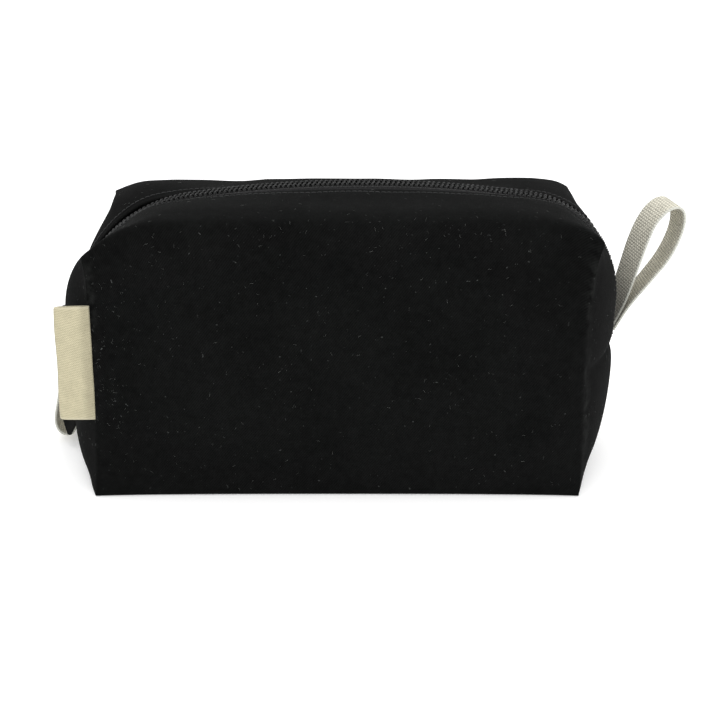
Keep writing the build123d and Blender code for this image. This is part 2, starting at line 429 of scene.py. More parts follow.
TWILL = TwillFinish("black twill", (0.0042, 0.0044, 0.0043), roughness=1.0)
LINING = WovenFinish("grey lining", (0.02, 0.02, 0.021), pitch=0.9 * MM, height=0.08 * MM)
TAPE = WovenFinish("zipper tape weave", (0.010, 0.010, 0.0105), pitch=1.0 * MM, height=0.12 * MM)
# worn sets how dark the painted shade gets at each strap's and label's sewn end.
WEBBING = WovenFinish("natural webbing", (0.63, 0.605, 0.505), pitch=3.0 * MM, height=0.5 * MM, shade=0.28,
                      skew=1.35, worn=0.42, ribbed=0.55, selvedge=(0.62, 0.63, 0.58))
LABEL = WovenFinish("cream label", (0.485, 0.442, 0.302), pitch=1.25 * MM, height=0.15 * MM, shade=0.76,
                    diagonal=True, worn=0.76, selvedge=(0.53, 0.49, 0.36))
THREAD = SmoothFinish("black thread", (0.030, 0.031, 0.031), roughness=0.7, specular=0.2)
COIL = SmoothFinish("coil filament", (0.008, 0.0083, 0.0083), roughness=0.5, specular=0.28)
LEATHER = SmoothFinish("black leather", (0.0045, 0.0045, 0.0045), roughness=0.7, grain=420.0, specular=0.06)
ENAMEL = SmoothFinish("black enamel", (0.008, 0.008, 0.0085), roughness=0.32, specular=0.5)
LINT = SmoothFinish("lint", (0.12, 0.125, 0.118), roughness=0.9, specular=0.1)
PAPER = FloorFinish("white paper", (0.9, 0.9, 0.9))


class Wardrobe:
    """Makes each finish once and hands out its material."""

    def __init__(self) -> None:
        """Starts with nothing made."""
        self.made: dict[str, bpy.types.Material] = {}

    def get(self, finish: Finish) -> bpy.types.Material:
        """Hands out a material.

        Args:
            finish: The finish that is asked for.

        Returns:
            Its material, made on first use.
        """
        if finish.name not in self.made:
            self.made[finish.name] = finish.make()
        return self.made[finish.name]


WARDROBE = Wardrobe()


# ---------------------------------------------------------------------------------------------------------
# Mesh helpers


def link_new(name: str, data: bpy.types.ID) -> bpy.types.Object:
    """Makes an object of some data and links it to the scene.

    Args:
        name: The object's name.
        data: A mesh, a light or a camera.

    Returns:
        The object.
    """
    made = bpy.data.objects.new(name, data)
    bpy.context.collection.objects.link(made)
    return made


def new_piece(name: str, points: np.ndarray, faces: Sequence[Sequence[int]], finish: Finish,
              smooth: bool = True) -> bpy.types.Object:
    """Makes a mesh object at the origin.

    Args:
        name: The piece's name.
        points: Corner positions in metres.
        faces: Corner indices of each face.
        finish: The finish it wears.
        smooth: Whether its faces are shaded smooth.

    Returns:
        The new object, linked to the scene.
    """
    mesh = bpy.data.meshes.new(name)
    mesh.from_pydata([tuple(p) for p in points], [], [tuple(f) for f in faces])
    mesh.update()
    mesh.polygons.foreach_set("use_smooth", [smooth] * len(mesh.polygons))
    piece = link_new(name, mesh)
    mesh.materials.append(WARDROBE.get(finish))
    return piece


def store(piece: bpy.types.Object, name: str, values: np.ndarray) -> None:
    """Stores one number per point as a mesh attribute."""
    layer = piece.data.attributes.new(name, "FLOAT", "POINT")
    layer.data.foreach_set("value", np.asarray(values, dtype=np.float32))


def settle(piece: bpy.types.Object) -> None:
    """Applies every modifier, so that the piece is a plain mesh.

    Args:
        piece: The piece to settle.
    """
    graph = bpy.context.evaluated_depsgraph_get()
    graph.update()
    mesh = bpy.data.meshes.new_from_object(piece.evaluated_get(graph), preserve_all_data_layers=True,
                                           depsgraph=graph)
    piece.modifiers.clear()
    old = piece.data
    name = old.name
    piece.data = mesh
    bpy.data.meshes.remove(old)
    mesh.name = name


def thicken(piece: bpy.types.Object, thickness: float, offset: float = 0.0) -> None:
    """Gives a sheet its wall: on both sides of it, or inwards when the offset is -1."""
    wall = piece.modifiers.new("wall", "SOLIDIFY")
    wall.thickness, wall.offset = thickness, offset


def ease_edges(piece: bpy.types.Object, width: float, angle: float) -> None:
    """Bevels the sharp edges of a piece.

    Args:
        piece: The piece to bevel.
        width: The bevel's width.
        angle: How sharp an edge has to be, in degrees.
    """
    edges = piece.modifiers.new("edges", "BEVEL")
    edges.width, edges.segments = width, 2
    edges.limit_method, edges.angle_limit = "ANGLE", math.radians(angle)


def smoothstep(value: np.ndarray | float, low: float, high: float) -> np.ndarray:
    """A smooth ramp from 0 at low to 1 at high."""
    t = np.clip((np.asarray(value, dtype=float) - low) / (high - low), 0.0, 1.0)
    return t * t * (3 - 2 * t)


def lerp(a: np.ndarray | float, b: np.ndarray | float, t: np.ndarray | float) -> np.ndarray:
    """A straight blend from a to b."""
    return a + (b - a) * t


# ---------------------------------------------------------------------------------------------------------
# The zipper's line


@dataclass
class ZipperLine:
    """The route of the chain in the XZ plane: left shoulder, top run and right shoulder, all tangent.

    Lengths along it are counted from the left end seam. Its height is the cloth's face beside the chain.
    """

    seam_height: float = 64.0 * MM
    top_radius: float = 595.0 * MM
    right_radius: float = 51.5 * MM
    crest_x: float = 10.0 * MM
    reach: float = field(init=False)
    left_centre: np.ndarray = field(init=False)

    def __post_init__(self) -> None:
        """Takes the ends and the left shoulder from the frame and places the other centres tangent to it."""
        self.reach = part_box("right_end_lower")[1][0]
        travel = next(j for j in frame["record"]["behaviour"]["joints"] if j["name"] == "slider_travel")
        self.left_centre = np.array([travel["pos_m"][0], travel["pos_m"][2]])
        self.left_radius = self.reach + self.left_centre[0]
        x0, z0 = self.left_centre
        drop = math.sqrt((self.top_radius - self.left_radius) ** 2 - (x0 - self.crest_x) ** 2)
        self.top_centre = np.array([self.crest_x, z0 - drop])
        x = self.reach - self.right_radius
        rise = math.sqrt((self.top_radius - self.right_radius) ** 2 - (x - self.crest_x) ** 2)
        self.right_centre = np.array([x, self.top_centre[1] + rise])
        self.left_turn = self.angle_of(self.left_centre - self.top_centre)
        self.right_turn = self.angle_of(self.right_centre - self.top_centre)
        self.lengths = np.array([
            self.left_centre[1] - self.seam_height,
            self.left_radius * (math.pi - self.left_turn),
            self.top_radius * (self.left_turn - self.right_turn),
            self.right_radius * self.right_turn,
            self.right_centre[1] - self.seam_height,
        ])
        self.total = float(self.lengths.sum())

    @staticmethod
    def angle_of(arm: np.ndarray) -> float:
        """An arm's angle from +X, in radians."""
        return math.atan2(arm[1], arm[0])

    def at(self, s: np.ndarray | float) -> tuple[np.ndarray, np.ndarray]:
        """Points of the line and the outward angle there.

        Args:
            s: Lengths from the left end seam, in metres.

        Returns:
            An array of (x, z) points, and the outward normal's angle from +X at each.
        """
        s = np.atleast_1d(np.asarray(s, dtype=float))
        starts = np.concatenate([[0.0], np.cumsum(self.lengths)])
        points = np.zeros((len(s), 2))
        angles = np.zeros(len(s))
        turns = (
            (self.left_centre, self.left_radius, math.pi),
            (self.top_centre, self.top_radius, self.left_turn),
            (self.right_centre, self.right_radius, self.right_turn),
        )
        for part in range(5):
            here = s >= (starts[part] if part else -1.0)
            if part < 4:
                here &= s < starts[part + 1]
            if part in (0, 4):
                side = -1 if part == 0 else 1
                z = self.seam_height + (s if part == 0 else self.total - s)
                points[here] = np.stack([np.full(here.sum(), side * self.reach), z[here]], axis=1)
                angles[here] = math.pi if part == 0 else 0.0
                continue
            centre, radius, first = turns[part - 1]
            angle = first - (s[here] - starts[part]) / radius
            points[here] = centre + radius * np.stack([np.cos(angle), np.sin(angle)], axis=1)
            angles[here] = angle
        return points, angles

    def raised(self, s: np.ndarray, y: float | np.ndarray, height: float | np.ndarray) -> np.ndarray:
        """Points above or below the line, on one side of the bag's middle plane.

        Args:
            s: Lengths from the left end seam.
            y: Distance from the middle plane.
            height: Height above the cloth's face.

        Returns:
            One (x, y, z) point for each length.
        """
        points, angles = self.at(s)
        out = np.zeros((len(points), 3))
        out[:, 0] = points[:, 0] + np.cos(angles) * height
        out[:, 1] = y
        out[:, 2] = points[:, 1] + np.sin(angles) * height
        return out


LINE = ZipperLine()


# ---------------------------------------------------------------------------------------------------------
# The sewn cloth body


@dataclass(frozen=True)
class Brow:
    """The shoulder line of one face: its height in the middle, at each ear, and how late it drops there."""

    crown: float
    ear_left: float
    ear_right: float
    late_left: float
    late_right: float
    depth: float

    def height(self, u: np.ndarray) -> np.ndarray:
        """Height of the line across the bag.

        Args:
            u: Places from -1 at the left ear to 1 at the right.

        Returns:
            The heights there.
        """
        left = self.crown - (self.crown - self.ear_left) * np.abs(u) ** self.late_left
        right = self.crown - (self.crown - self.ear_right) * np.abs(u) ** self.late_right
        return np.where(u < 0, left, right)


@dataclass(frozen=True)
class Quarter:
    """One upper corner of the bag: how far its ear spreads, and how far the stuffing swells the cloth below it."""

    flare: float
    puff: float


@dataclass
class BagForm:
    """The stuffed bag's outer form as six fields of cloth that meet at the folds and box seams.

    u runs from the left end to the right, v from front to back, w from base to top, each from -1 or 0 to 1.
    """

    panel_height: float = 128.0 * MM
    corner_left: float = 121.8 * MM
    corner_right: float = 121.0 * MM
    waist_left: float = 0.6 * MM
    waist_right: float = 2.6 * MM
    heel_left: float = 2.2 * MM
    heel_right: float = -1.6 * MM
    ear_y: float = 57.0 * MM
    foot_y: float = 62.6 * MM
    face_bulge: float = 2.0 * MM
    foot_curl: float = 2.4 * MM
    foot_left: float = 9.5 * MM
    foot_right: float = 5.5 * MM
    late_foot_left: float = 7.0
    late_foot_right: float = 3.2
    round_foot: float = 2.3
    round_left: float = 2.3
    round_right: float = 1.8
    edge_power: float = 2.6
    bulge_power: float = 0.7
    brow_lean: float = math.radians(60)
    front_left: Quarter = Quarter(flare=2.6 * MM, puff=7.2 * MM)
    front_right: Quarter = Quarter(flare=5.6 * MM, puff=1.4 * MM)
    back_left: Quarter = Quarter(flare=3.6 * MM, puff=5.0 * MM)
    back_right: Quarter = Quarter(flare=2.2 * MM, puff=1.0 * MM)
    ridge: float = 0.52
    ridge_share: float = 0.8
    seam_dent: float = 1.9 * MM
    dent_reach: float = 2.5 * MM
    slot_half: float = 7.1 * MM
    front: Brow = Brow(140.4 * MM, 124.0 * MM, 131.5 * MM, 8.0, 13.0, 52.0 * MM)
    back: Brow = Brow(135.8 * MM, 128.5 * MM, 130.5 * MM, 10.0, 22.0, 51.0 * MM)

    def brow(self, v: np.ndarray | float) -> Brow:
        """The brow on one side of the zipper."""
        return self.front if v < 0 else self.back

    def quarter(self, u: float, v: float) -> Quarter:
        """The upper corner that a place belongs to.

        Args:
            u: The end, by its sign.
            v: The face, by its sign.

        Returns:
            The corner.
        """
        if v < 0:
            return self.front_left if u < 0 else self.front_right
        return self.back_left if u < 0 else self.back_right

    def corner_x(self, u: float, w: float, v: float) -> float:
        """Distance of a box seam from the middle, up its height.

        Args:
            u: The side, by its sign.
            w: Height from 0 to 1.
            v: The face, by its sign.

        Returns:
            The distance.
        """
        low, waist, heel = ((self.corner_left, self.waist_left, self.heel_left) if u < 0 else
                            (self.corner_right, self.waist_right, self.heel_right))
        return low - waist * math.sin(math.pi * w) + self.quarter(u, v).flare * w**8 + heel * (1 - w) ** 9

    def middling(self, u: float) -> float:
        """How much a face takes of its bulge: 1 in the middle and 0 at the box seams."""
        return (1 - abs(u) ** self.edge_power) ** self.bulge_power

    def corner_y(self, w: np.ndarray) -> np.ndarray:
        """Depth of a box seam, up its height."""
        return lerp(self.foot_y, self.ear_y, w**2.5)

    def face(self, u: float, w: float, v: float) -> np.ndarray:
        """A point of the front or back face.

        Args:
            u: Place across, from -1 to 1.
            w: Place up, from 0 to 1.
            v: The face, by its sign.

        Returns:
            The point.
        """
        brow = self.brow(v)
        edge_x = self.corner_x(u, w, v)
        middle = self.middling(u)
        swell = self.face_bulge * middle * math.sin(math.pi * w**0.8) ** self.bulge_power if 0 < w < 1 else 0.0
        curl = self.foot_curl * middle * (1 - float(smoothstep(w, 0.0, 0.09)))
        turn = float(smoothstep(w, 0.80, 1.0)) ** 1.5 * (1 - abs(u) ** 6)
        y = lerp(self.corner_y(w) + swell - curl, brow.depth, turn)
        return np.array([u * edge_x, math.copysign(y, v), w * float(brow.height(np.array(u)))])

    def end_middle(self, w: float, u: float) -> tuple[float, float]:
        """The middle line of an end.

        Args:
            w: Place up, from 0 to 1.
            u: The end, by its sign.

        Returns:
            Distance out, and height.
        """
        half = self.panel_height / 2
        if w < 0.5:
            low = w * 2
            late = self.late_foot_left if u < 0 else self.late_foot_right
            return float(lerp(LINE.reach, self.foot_x(u, 0.0), (1 - low) ** late)), low * LINE.seam_height
        along = (w - 0.5) * 2 * half
        point = LINE.at(along if u < 0 else LINE.total - along)[0][0]
        return abs(float(point[0])), float(point[1])

    def foot_x(self, u: float, v: float) -> float:
        """How far out an end's foot stands on the floor."""
        bulge = self.foot_left if u < 0 else self.foot_right
        return self.corner_x(u, 0.0, v) + bulge * (1 - abs(v) ** self.round_foot)

    def end(self, v: float, w: float, u: float) -> np.ndarray:
        """A point of an end panel, bulged between its box seams.

        Args:
            v: Place from front to back, from -1 to 1.
            w: Place up, from 0 to 1.
            u: The end, by its sign.

        Returns:
            The point.
        """
        brow = self.brow(v)
        mid_x, mid_z = self.end_middle(w, u)
        upper = self.round_left if u < 0 else self.round_right
        roundness = lerp(self.round_foot, upper, float(smoothstep(w, 0.0, 0.3)))
        x = lerp(self.corner_x(u, w, v), mid_x, 1 - abs(v) ** roundness)
        z = lerp(w * float(brow.height(np.array(u))), mid_z, 1 - abs(v) ** 2.0)
        dent = math.exp(-(((z - LINE.seam_height) / self.dent_reach) ** 2)) * (1 - abs(v) ** 6)
        swell = self.puffed(u, v) * float(smoothstep(w, 0.5, 0.82))
        if v < 0:
            swell *= 1 - 0.95 * float(smoothstep(w, 0.86, 1.0))
        tilt = self.brow_lean * float(smoothstep(w, 0.6, 1.0))
        x += swell * math.cos(tilt) - self.seam_dent * dent
        return np.array([math.copysign(x, u), v * self.corner_y(w), z + swell * math.sin(tilt)])

    def puffed(self, u: float, v: float) -> float:
        """How far the stuffed cloth swells on each side of the zipper, near the ends."""
        return self.quarter(u, v).puff * math.sin(math.pi * abs(v)) ** 1.2

    def top(self, u: float, v: float) -> np.ndarray:
        """A point of the top, raised from each brow up to the zipper's line.

        Args:
            u: Place across, from -1 to 1.
            v: Place from front to back, from -1 to 1.

        Returns:
            The point.
        """
        brow = self.brow(v)
        half = self.panel_height / 2
        point = LINE.at(lerp(half, LINE.total - half, (u + 1) / 2))[0][0]
        t = abs(v)
        x = lerp(float(point[0]), u * self.corner_x(u, 1.0, v), t**1.5)
        drop = lerp(1 - (1 - min(t / self.ridge, 1.0)) ** 2, t**2.2, self.dome(u))
        z = lerp(float(point[1]), float(brow.height(np.array(u))), drop)
        y = t * lerp(brow.depth, self.ear_y, abs(u) ** 6)
        swell = self.puffed(u, v) * float(smoothstep(abs(u), 0.5, 1.0)) * (0.05 if v < 0 else 1.0)
        x += math.copysign(swell * math.cos(self.brow_lean) * abs(u), u)
        return np.array([x, math.copysign(y, v), z + swell * math.sin(self.brow_lean)])

    def dome(self, u: float) -> float:
        """How much the top is a dome and not a ridge under the zipper: all of it at the ears."""
        return lerp(1 - self.ridge_share, 1.0, float(smoothstep(abs(u), 0.75, 1.0)))

    def base(self, u: float, v: float) -> np.ndarray:
        """A point of the flat base, from places across and from front to back."""
        y = v * (self.foot_y - self.foot_curl * self.middling(u))
        return np.array([u * self.foot_x(u, v), y, 0.0])


@dataclass
class BagCloth:
    """The outer twill: one sewn shell, open along the zipper, blown up and settled as cloth.

    It is nx quads wide, nz tall and ny_half deep on each side of the slot.
    """

    form: BagForm = field(default_factory=BagForm)
    nx: int = 60
    nz: int = 32
    ny_half: int = 14
    thickness: float = 1.1 * MM
    frames: int = 20
    pressure: float = 0.5
    slack: float = -0.006
    most_moved: float = 2.2 * MM
    quality: int = 6
    point_mass: float = 0.25
    stretch_stiffness: float = 18.0
    shear_stiffness: float = 6.0
    bend_stiffness: float = 1.2
    seam_place: tuple[float, float] = (121.0, 59.0)
    box_crease: float = 0.85
    end_crease: float = 0.8
    foot_crease: float = 0.75
    settled: bpy.types.Mesh | None = None
    skin: bpy.types.Mesh | None = None

    def stations(self) -> np.ndarray:
        """Positions across the depth, with a line on the middle and one on each edge of the slot."""
        outer = np.linspace(self.form.slot_half / self.form.ear_y, 1.0, self.ny_half)
        return np.concatenate([-outer[::-1], [0.0], outer])

    @staticmethod
    def spread(count: int, low: float, high: float) -> np.ndarray:
        """Positions that draw together a little towards both ends.

        Args:
            count: How many gaps there are.
            low: The first position.
            high: The last position.

        Returns:
            The positions.
        """
        t = np.linspace(0, 1, count + 1)
        t = lerp(t, (1 - np.cos(np.pi * t)) / 2, 0.45)
        return lerp(low, high, t)

    def build(self) -> bpy.types.Object:
        """Lays out the fields, joins them into one shell, settles it and gives it its thickness.

        Returns:
            The finished cloth piece.
        """
        piece = self.shell()
        self.inflate(piece)
        self.soften(piece)
        self.settled = piece.data.copy()
        self.mark(piece)
        smooth = piece.modifiers.new("smooth", "SUBSURF")
        smooth.levels = smooth.render_levels = 1
        settle(piece)
        self.skin = piece.data.copy()
        thicken(piece, self.thickness, -1.0)
        settle(piece)
        return piece

    def surface(self) -> BVHTree:
        """The finished outer skin as a tree for finding nearest points."""
        mesh = self.skin
        return BVHTree.FromPolygons([p.co for p in mesh.vertices], [tuple(f.vertices) for f in mesh.polygons])

    def shell(self) -> bpy.types.Object:
        """The bare shell of quads, with its cloth map and its seams marked as creases.

        Returns:
            The shell piece.
        """
        us, vs = self.spread(self.nx, -1, 1), self.stations()
        ws = np.concatenate([self.spread(self.nz // 2, 0, 0.5)[:-1], self.spread(self.nz // 2, 0.5, 1)])
        nx, ny, nz = self.nx, len(vs) - 1, self.nz
        mid, seam, form = ny // 2, nz // 2, self.form
        points: list[np.ndarray] = []
        index: dict[tuple[int, int, int], int] = {}
        faces: list[tuple[int, ...]] = []
        maps: list[tuple[float, float]] = []

        def corner(i: int, j: int, k: int) -> int:
            """Places a grid point on first use.

            Args:
                i: Step across.
                j: Step from front to back.
                k: Step up.

            Returns:
                The point's index.
            """
            if (i, j, k) not in index:
                u, v, w = float(us[i]), float(vs[j]), float(ws[k])
                if k == 0:
                    point = form.base(u, v)
                elif k == nz:
                    point = form.top(u, v)
                elif j in (0, ny):
                    point = form.face(u, w, v)
                else:
                    point = form.end(v, w, u)
                index[i, j, k] = len(points)
                points.append(point)
            return index[i, j, k]

        def patch(rows: int, columns: int, key: Callable[[int, int], tuple[int, int, int]],
                  chart: Callable[[int, int], tuple[float, float]], flip: bool,
                  keep: Callable[[int], bool] = lambda b: True) -> None:
            """Adds one field of quads.

            Args:
                rows: Steps one way.
                columns: Steps the other way.
                key: The grid place of a step.
                chart: The map place of a step.
                flip: Whether the quads are wound the other way.
                keep: Which columns are kept.
            """
            for a in range(rows):
                for b in filter(keep, range(columns)):
                    ring = [(a, b), (a + 1, b), (a + 1, b + 1), (a, b + 1)]
                    if flip:
                        ring.reverse()
                    faces.append(tuple(corner(*key(*c)) for c in ring))
                    maps.extend(chart(*c) for c in ring)

        # Front, back, base and top, then the two ends; each has its own place in the cloth's map.
        across, deep, tall = form.corner_left, form.ear_y, form.panel_height
        patch(nx, nz, lambda a, b: (a, 0, b), lambda a, b: (us[a] * across, ws[b] * tall), False)
        patch(nx, nz, lambda a, b: (a, ny, b), lambda a, b: (1 - us[a] * across, ws[b] * tall), True)
        patch(nx, ny, lambda a, b: (a, b, 0), lambda a, b: (us[a] * across, vs[b] * deep - 1), True)
        patch(nx, ny, lambda a, b: (a, b, nz), lambda a, b: (us[a] * across, (vs[b] + 1) * deep + tall), False,
              lambda b: b not in (mid - 1, mid))
        for i, flip in ((0, True), (nx, False)):
            patch(nz, ny, lambda a, b, i=i: (i, b, a),
                  lambda a, b, i=i: (2 + i + vs[b] * deep, ws[a] * tall), not flip)
        gone = {index[i, mid, k] for i in (0, nx) for k in range(seam + 1, nz + 1) if (i, mid, k) in index}
        keep_faces = [n for n, f in enumerate(faces) if not gone & set(f)]
        maps = [maps[4 * n + c] for n in keep_faces for c in range(4)]
        piece = new_piece("bag_cloth", np.array(points), [faces[n] for n in keep_faces], TWILL)
        piece.data.uv_layers.new(name="cloth").data.foreach_set("uv", [c for pair in maps for c in pair])
        self.creases(piece, index, (nx, ny, nz), seam)
        work = bmesh.new()
        work.from_mesh(piece.data)
        bmesh.ops.delete(work, geom=[p for p in work.verts if not p.link_faces], context="VERTS")
        work.to_mesh(piece.data)
        work.free()
        return piece

    def creases(self, piece: bpy.types.Object, index: dict[tuple[int, int, int], int],
                size: tuple[int, int, int], seam: int) -> None:
        """Marks box seams, end seams and the foot's fold as creases, and pins the stiff lines.

        Args:
            piece: The shell.
            index: Each vertex's index, by its grid place.
            size: Steps across, deep and up.
            seam: The step at the end seams' height.
        """
        nx, ny, nz = size
        kind = {n: key for key, n in index.items()}
        sharp = np.zeros(len(piece.data.edges), dtype=np.float32)
        for n, edge in enumerate(piece.data.edges):
            (i, j, k), (p, q, r) = (kind[c] for c in edge.vertices)
            if i == p and i in (0, nx) and j == q and j in (0, ny):
                sharp[n] = self.box_crease
            elif k == r == seam and i == p and i in (0, nx):
                sharp[n] = self.end_crease
            elif k == r == 0 and (i == p and i in (0, nx) or j == q and j in (0, ny)):
                sharp[n] = self.foot_crease
        layer = piece.data.attributes.new("crease_edge", "FLOAT", "EDGE")
        layer.data.foreach_set("value", sharp)
        pins = piece.vertex_groups.new(name="pins")
        ring = piece.vertex_groups.new(name="loose")
        for n, (i, j, k) in kind.items():
            corner = i in (0, nx) and j in (0, ny)
            slot = abs(j - ny // 2) <= 1 and (k == nz or i in (0, nx) and k >= seam)
            pins.add([n], 1.0 if k == 0 or slot else 0.9 if corner or (i in (0, nx) and k == seam) else 0.0,
                     "REPLACE")
            fold = k in (nz - 1, nz) and not slot and not corner
            ring.add([n], 1.0 if fold or (k > 1 and not slot and not corner and k != seam) else 0.0, "REPLACE")

    def inflate(self, piece: bpy.types.Object) -> None:
        """Settles the shell as cloth with a little slack and air inside, and caps how far any point moves.

        Args:
            piece: The shell.
        """
        before = self.coordinates(piece.data)
        cloth = piece.modifiers.new("settle", "CLOTH")
        rules = cloth.settings
        rules.quality = self.quality
        rules.mass = self.point_mass
        rules.tension_stiffness = rules.compression_stiffness = self.stretch_stiffness
        rules.shear_stiffness = self.shear_stiffness
        rules.bending_stiffness = self.bend_stiffness
        rules.shrink_min = self.slack
        rules.use_pressure = True
        rules.uniform_pressure_force = self.pressure
        rules.vertex_group_mass = "pins"
        rules.effector_weights.gravity = 0.0
        cloth.collision_settings.use_collision = False
        scene = bpy.context.scene
        cloth.point_cache.frame_start, cloth.point_cache.frame_end = 1, self.frames
        for moment in range(1, self.frames + 1):
            scene.frame_set(moment)
        graph = bpy.context.evaluated_depsgraph_get()
        after = self.coordinates(piece.evaluated_get(graph).data)
        piece.modifiers.remove(cloth)
        scene.frame_set(1)
        move = after - before
        size = np.linalg.norm(move, axis=1, keepdims=True)
        move *= np.minimum(1.0, self.most_moved / np.maximum(size, 1e-9))
        after = before + move
        after[:, 2] = np.maximum(after[:, 2], 0.0)
        piece.data.vertices.foreach_set("co", after.ravel())
        piece.data.update()
        LOG.info("cloth settled: mean move %.2f mm, most %.2f mm", float(size.mean()) / MM, float(size.max()) / MM)

    def soften(self, piece: bpy.types.Object) -> None:
        """Rounds the brows and evens the fields, away from the seams and the slot.

        Args:
            piece: The shell.
        """
        ease = piece.modifiers.new("ease", "SMOOTH")
        ease.vertex_group = "loose"
        ease.factor = 0.5
        ease.iterations = 6
        settle(piece)

    @staticmethod
    def coordinates(mesh: bpy.types.Mesh) -> np.ndarray:
        """Reads a mesh's vertices.

        Args:
            mesh: The mesh to read.

        Returns:
            Every vertex position as one array.
        """
        flat = np.empty(len(mesh.vertices) * 3, dtype=np.float32)
        mesh.vertices.foreach_get("co", flat)
        return flat.reshape(-1, 3).astype(float)

    @staticmethod
    def around(*spans: tuple[np.ndarray, float, float]) -> np.ndarray:
        """A soft patch from 0 to 1: each span has a coordinate, the patch's middle and its width."""
        return np.exp(-sum(((place - middle) / width) ** 2 for place, middle, width in spans))

    def mark(self, piece: bpy.types.Object) -> None:
        """Stores where the cloth is rubbed pale and where lint has gathered.

        Args:
            piece: The settled shell.
        """
        # Everything here is in millimetres.
        x, y, z = (self.coordinates(piece.data) / MM).T
        line = LINE.at(np.linspace(0, LINE.total, 200))[0] / MM
        gap = np.min(np.hypot(x[:, None] - line[:, 0], z[:, None] - line[:, 1]), axis=1)
        seam = np.hypot(np.abs(x) - self.seam_place[0], np.abs(y) - self.seam_place[1])
        front = y < -50
        rubbed = 0.9 * self.around((seam, 0, 2.2)) * (z > 3)
        scuff = self.around((x, -112, 9), (y, -35, 9)) * (z > 110)
        store(piece, "wear", np.clip(np.maximum(rubbed, scuff), 0, 1))
        beside = self.around((x, -116, 12), (z, 72, 42)) * front
        brow = self.around((z, 136, 9)) * (gap > 4)
        low = self.around((x, -75, 40), (z, 14, 9)) * front
        lint = 0.10 + 0.95 * beside + 0.35 * brow + 0.6 * scuff + 0.35 * low + 0.15 * (y < 0)
        store(piece, "lint", np.clip(lint, 0, 1))


@dataclass
class Lining:
    """The thin inner bag, the settled cloth drawn inwards and cut back beside the zipper."""

    inset: float = 2.6 * MM
    thickness: float = 0.5 * MM
    edge: float = 9.0 * MM

    def build(self, cloth: BagCloth) -> bpy.types.Object:
        """Copies the settled cloth, moves it in along its normals and gives it a wall.

        Args:
            cloth: The outer cloth, after it has settled.

        Returns:
            The lining piece.
        """
        mesh = cloth.settled.copy()
        mesh.name = "lining"
        piece = link_new("lining", mesh)
        work = bmesh.new()
        work.from_mesh(mesh)
        work.normal_update()
        low = LINE.seam_height + 2 * MM
        slot = [f for f in work.faces if abs(f.calc_center_median().y) < self.edge and f.calc_center_median().z > low]
        bmesh.ops.delete(work, geom=slot, context="FACES")
        places = [p.co - p.normal * self.inset for p in work.verts]
        for p, place in zip(work.verts, places):
            p.co = place
            p.co.z = max(p.co.z, self.inset)
        work.to_mesh(mesh)
        work.free()
        mesh.materials.clear()
        mesh.materials.append(WARDROBE.get(LINING))
        thicken(piece, self.thickness, -1.0)
        settle(piece)
        return piece


# ---------------------------------------------------------------------------------------------------------
# Zipper


def grid_faces(rows: int, columns: int) -> list[tuple[int, int, int, int]]:
    """Quads over a grid of points stored row by row."""
    return [(r * columns + c, r * columns + c + 1, (r + 1) * columns + c + 1, (r + 1) * columns + c)
            for r in range(rows - 1) for c in range(columns - 1)]


def lay_map(piece: bpy.types.Object, places: np.ndarray) -> None:
    """Gives a piece its cloth map.

    Args:
        piece: The piece.
        places: One (u, v) pair for each vertex, in metres.
    """
    layer = piece.data.uv_layers.new(name="cloth")
    corners = np.empty(len(piece.data.loops), dtype=np.int32)
    piece.data.loops.foreach_get("vertex_index", corners)
    layer.data.foreach_set("uv", places[corners].astype(np.float32).ravel())


@dataclass
class ZipperTape:
    """One woven tape under the folded cloth edge, from the chain outwards."""

    half: Half
    inner: float = 0.7 * MM
    outer: float = 14.5 * MM
    inset: float = 1.5 * MM
    thickness: float = 0.55 * MM
    step: float = 3.0 * MM
    end_gap: float = 0.5 * MM
    chain_half: float = 5.5 * MM
    lanes: int = 9

    def build(self, skin: BVHTree) -> bpy.types.Object:
        """Lays the tape along the zipper's line and keeps it under the cloth.

        Args:
            skin: The outer cloth's surface.

        Returns:
            The tape piece.
        """
        stops = np.linspace(self.end_gap, LINE.total - self.end_gap, int(LINE.total / self.step))
        across = np.linspace(self.inner, self.outer, self.lanes)
        rows = [LINE.raised(stops, self.half.value * y, -self.inset) for y in across]
        points = np.concatenate(rows)
        for n, place in enumerate(points):
            if abs(place[1]) < self.chain_half:
                continue
            near, normal, _, _ = skin.find_nearest(Vector(place))
            depth = (Vector(place) - near).dot(normal)
            if depth > -self.inset:
                points[n] = np.array(Vector(place) - normal * (depth + self.inset))
        faces = grid_faces(self.lanes, len(stops))
        if self.half is Half.FRONT:
            faces = [f[::-1] for f in faces]
        piece = new_piece(f"zipper_tape_weave_{self.half.word}", points, faces, TAPE)
        lay_map(piece, np.stack([np.repeat(across, len(stops)), np.tile(stops, self.lanes)], axis=1))
        thicken(piece, self.thickness, -1.0)
        settle(piece)
        return piece


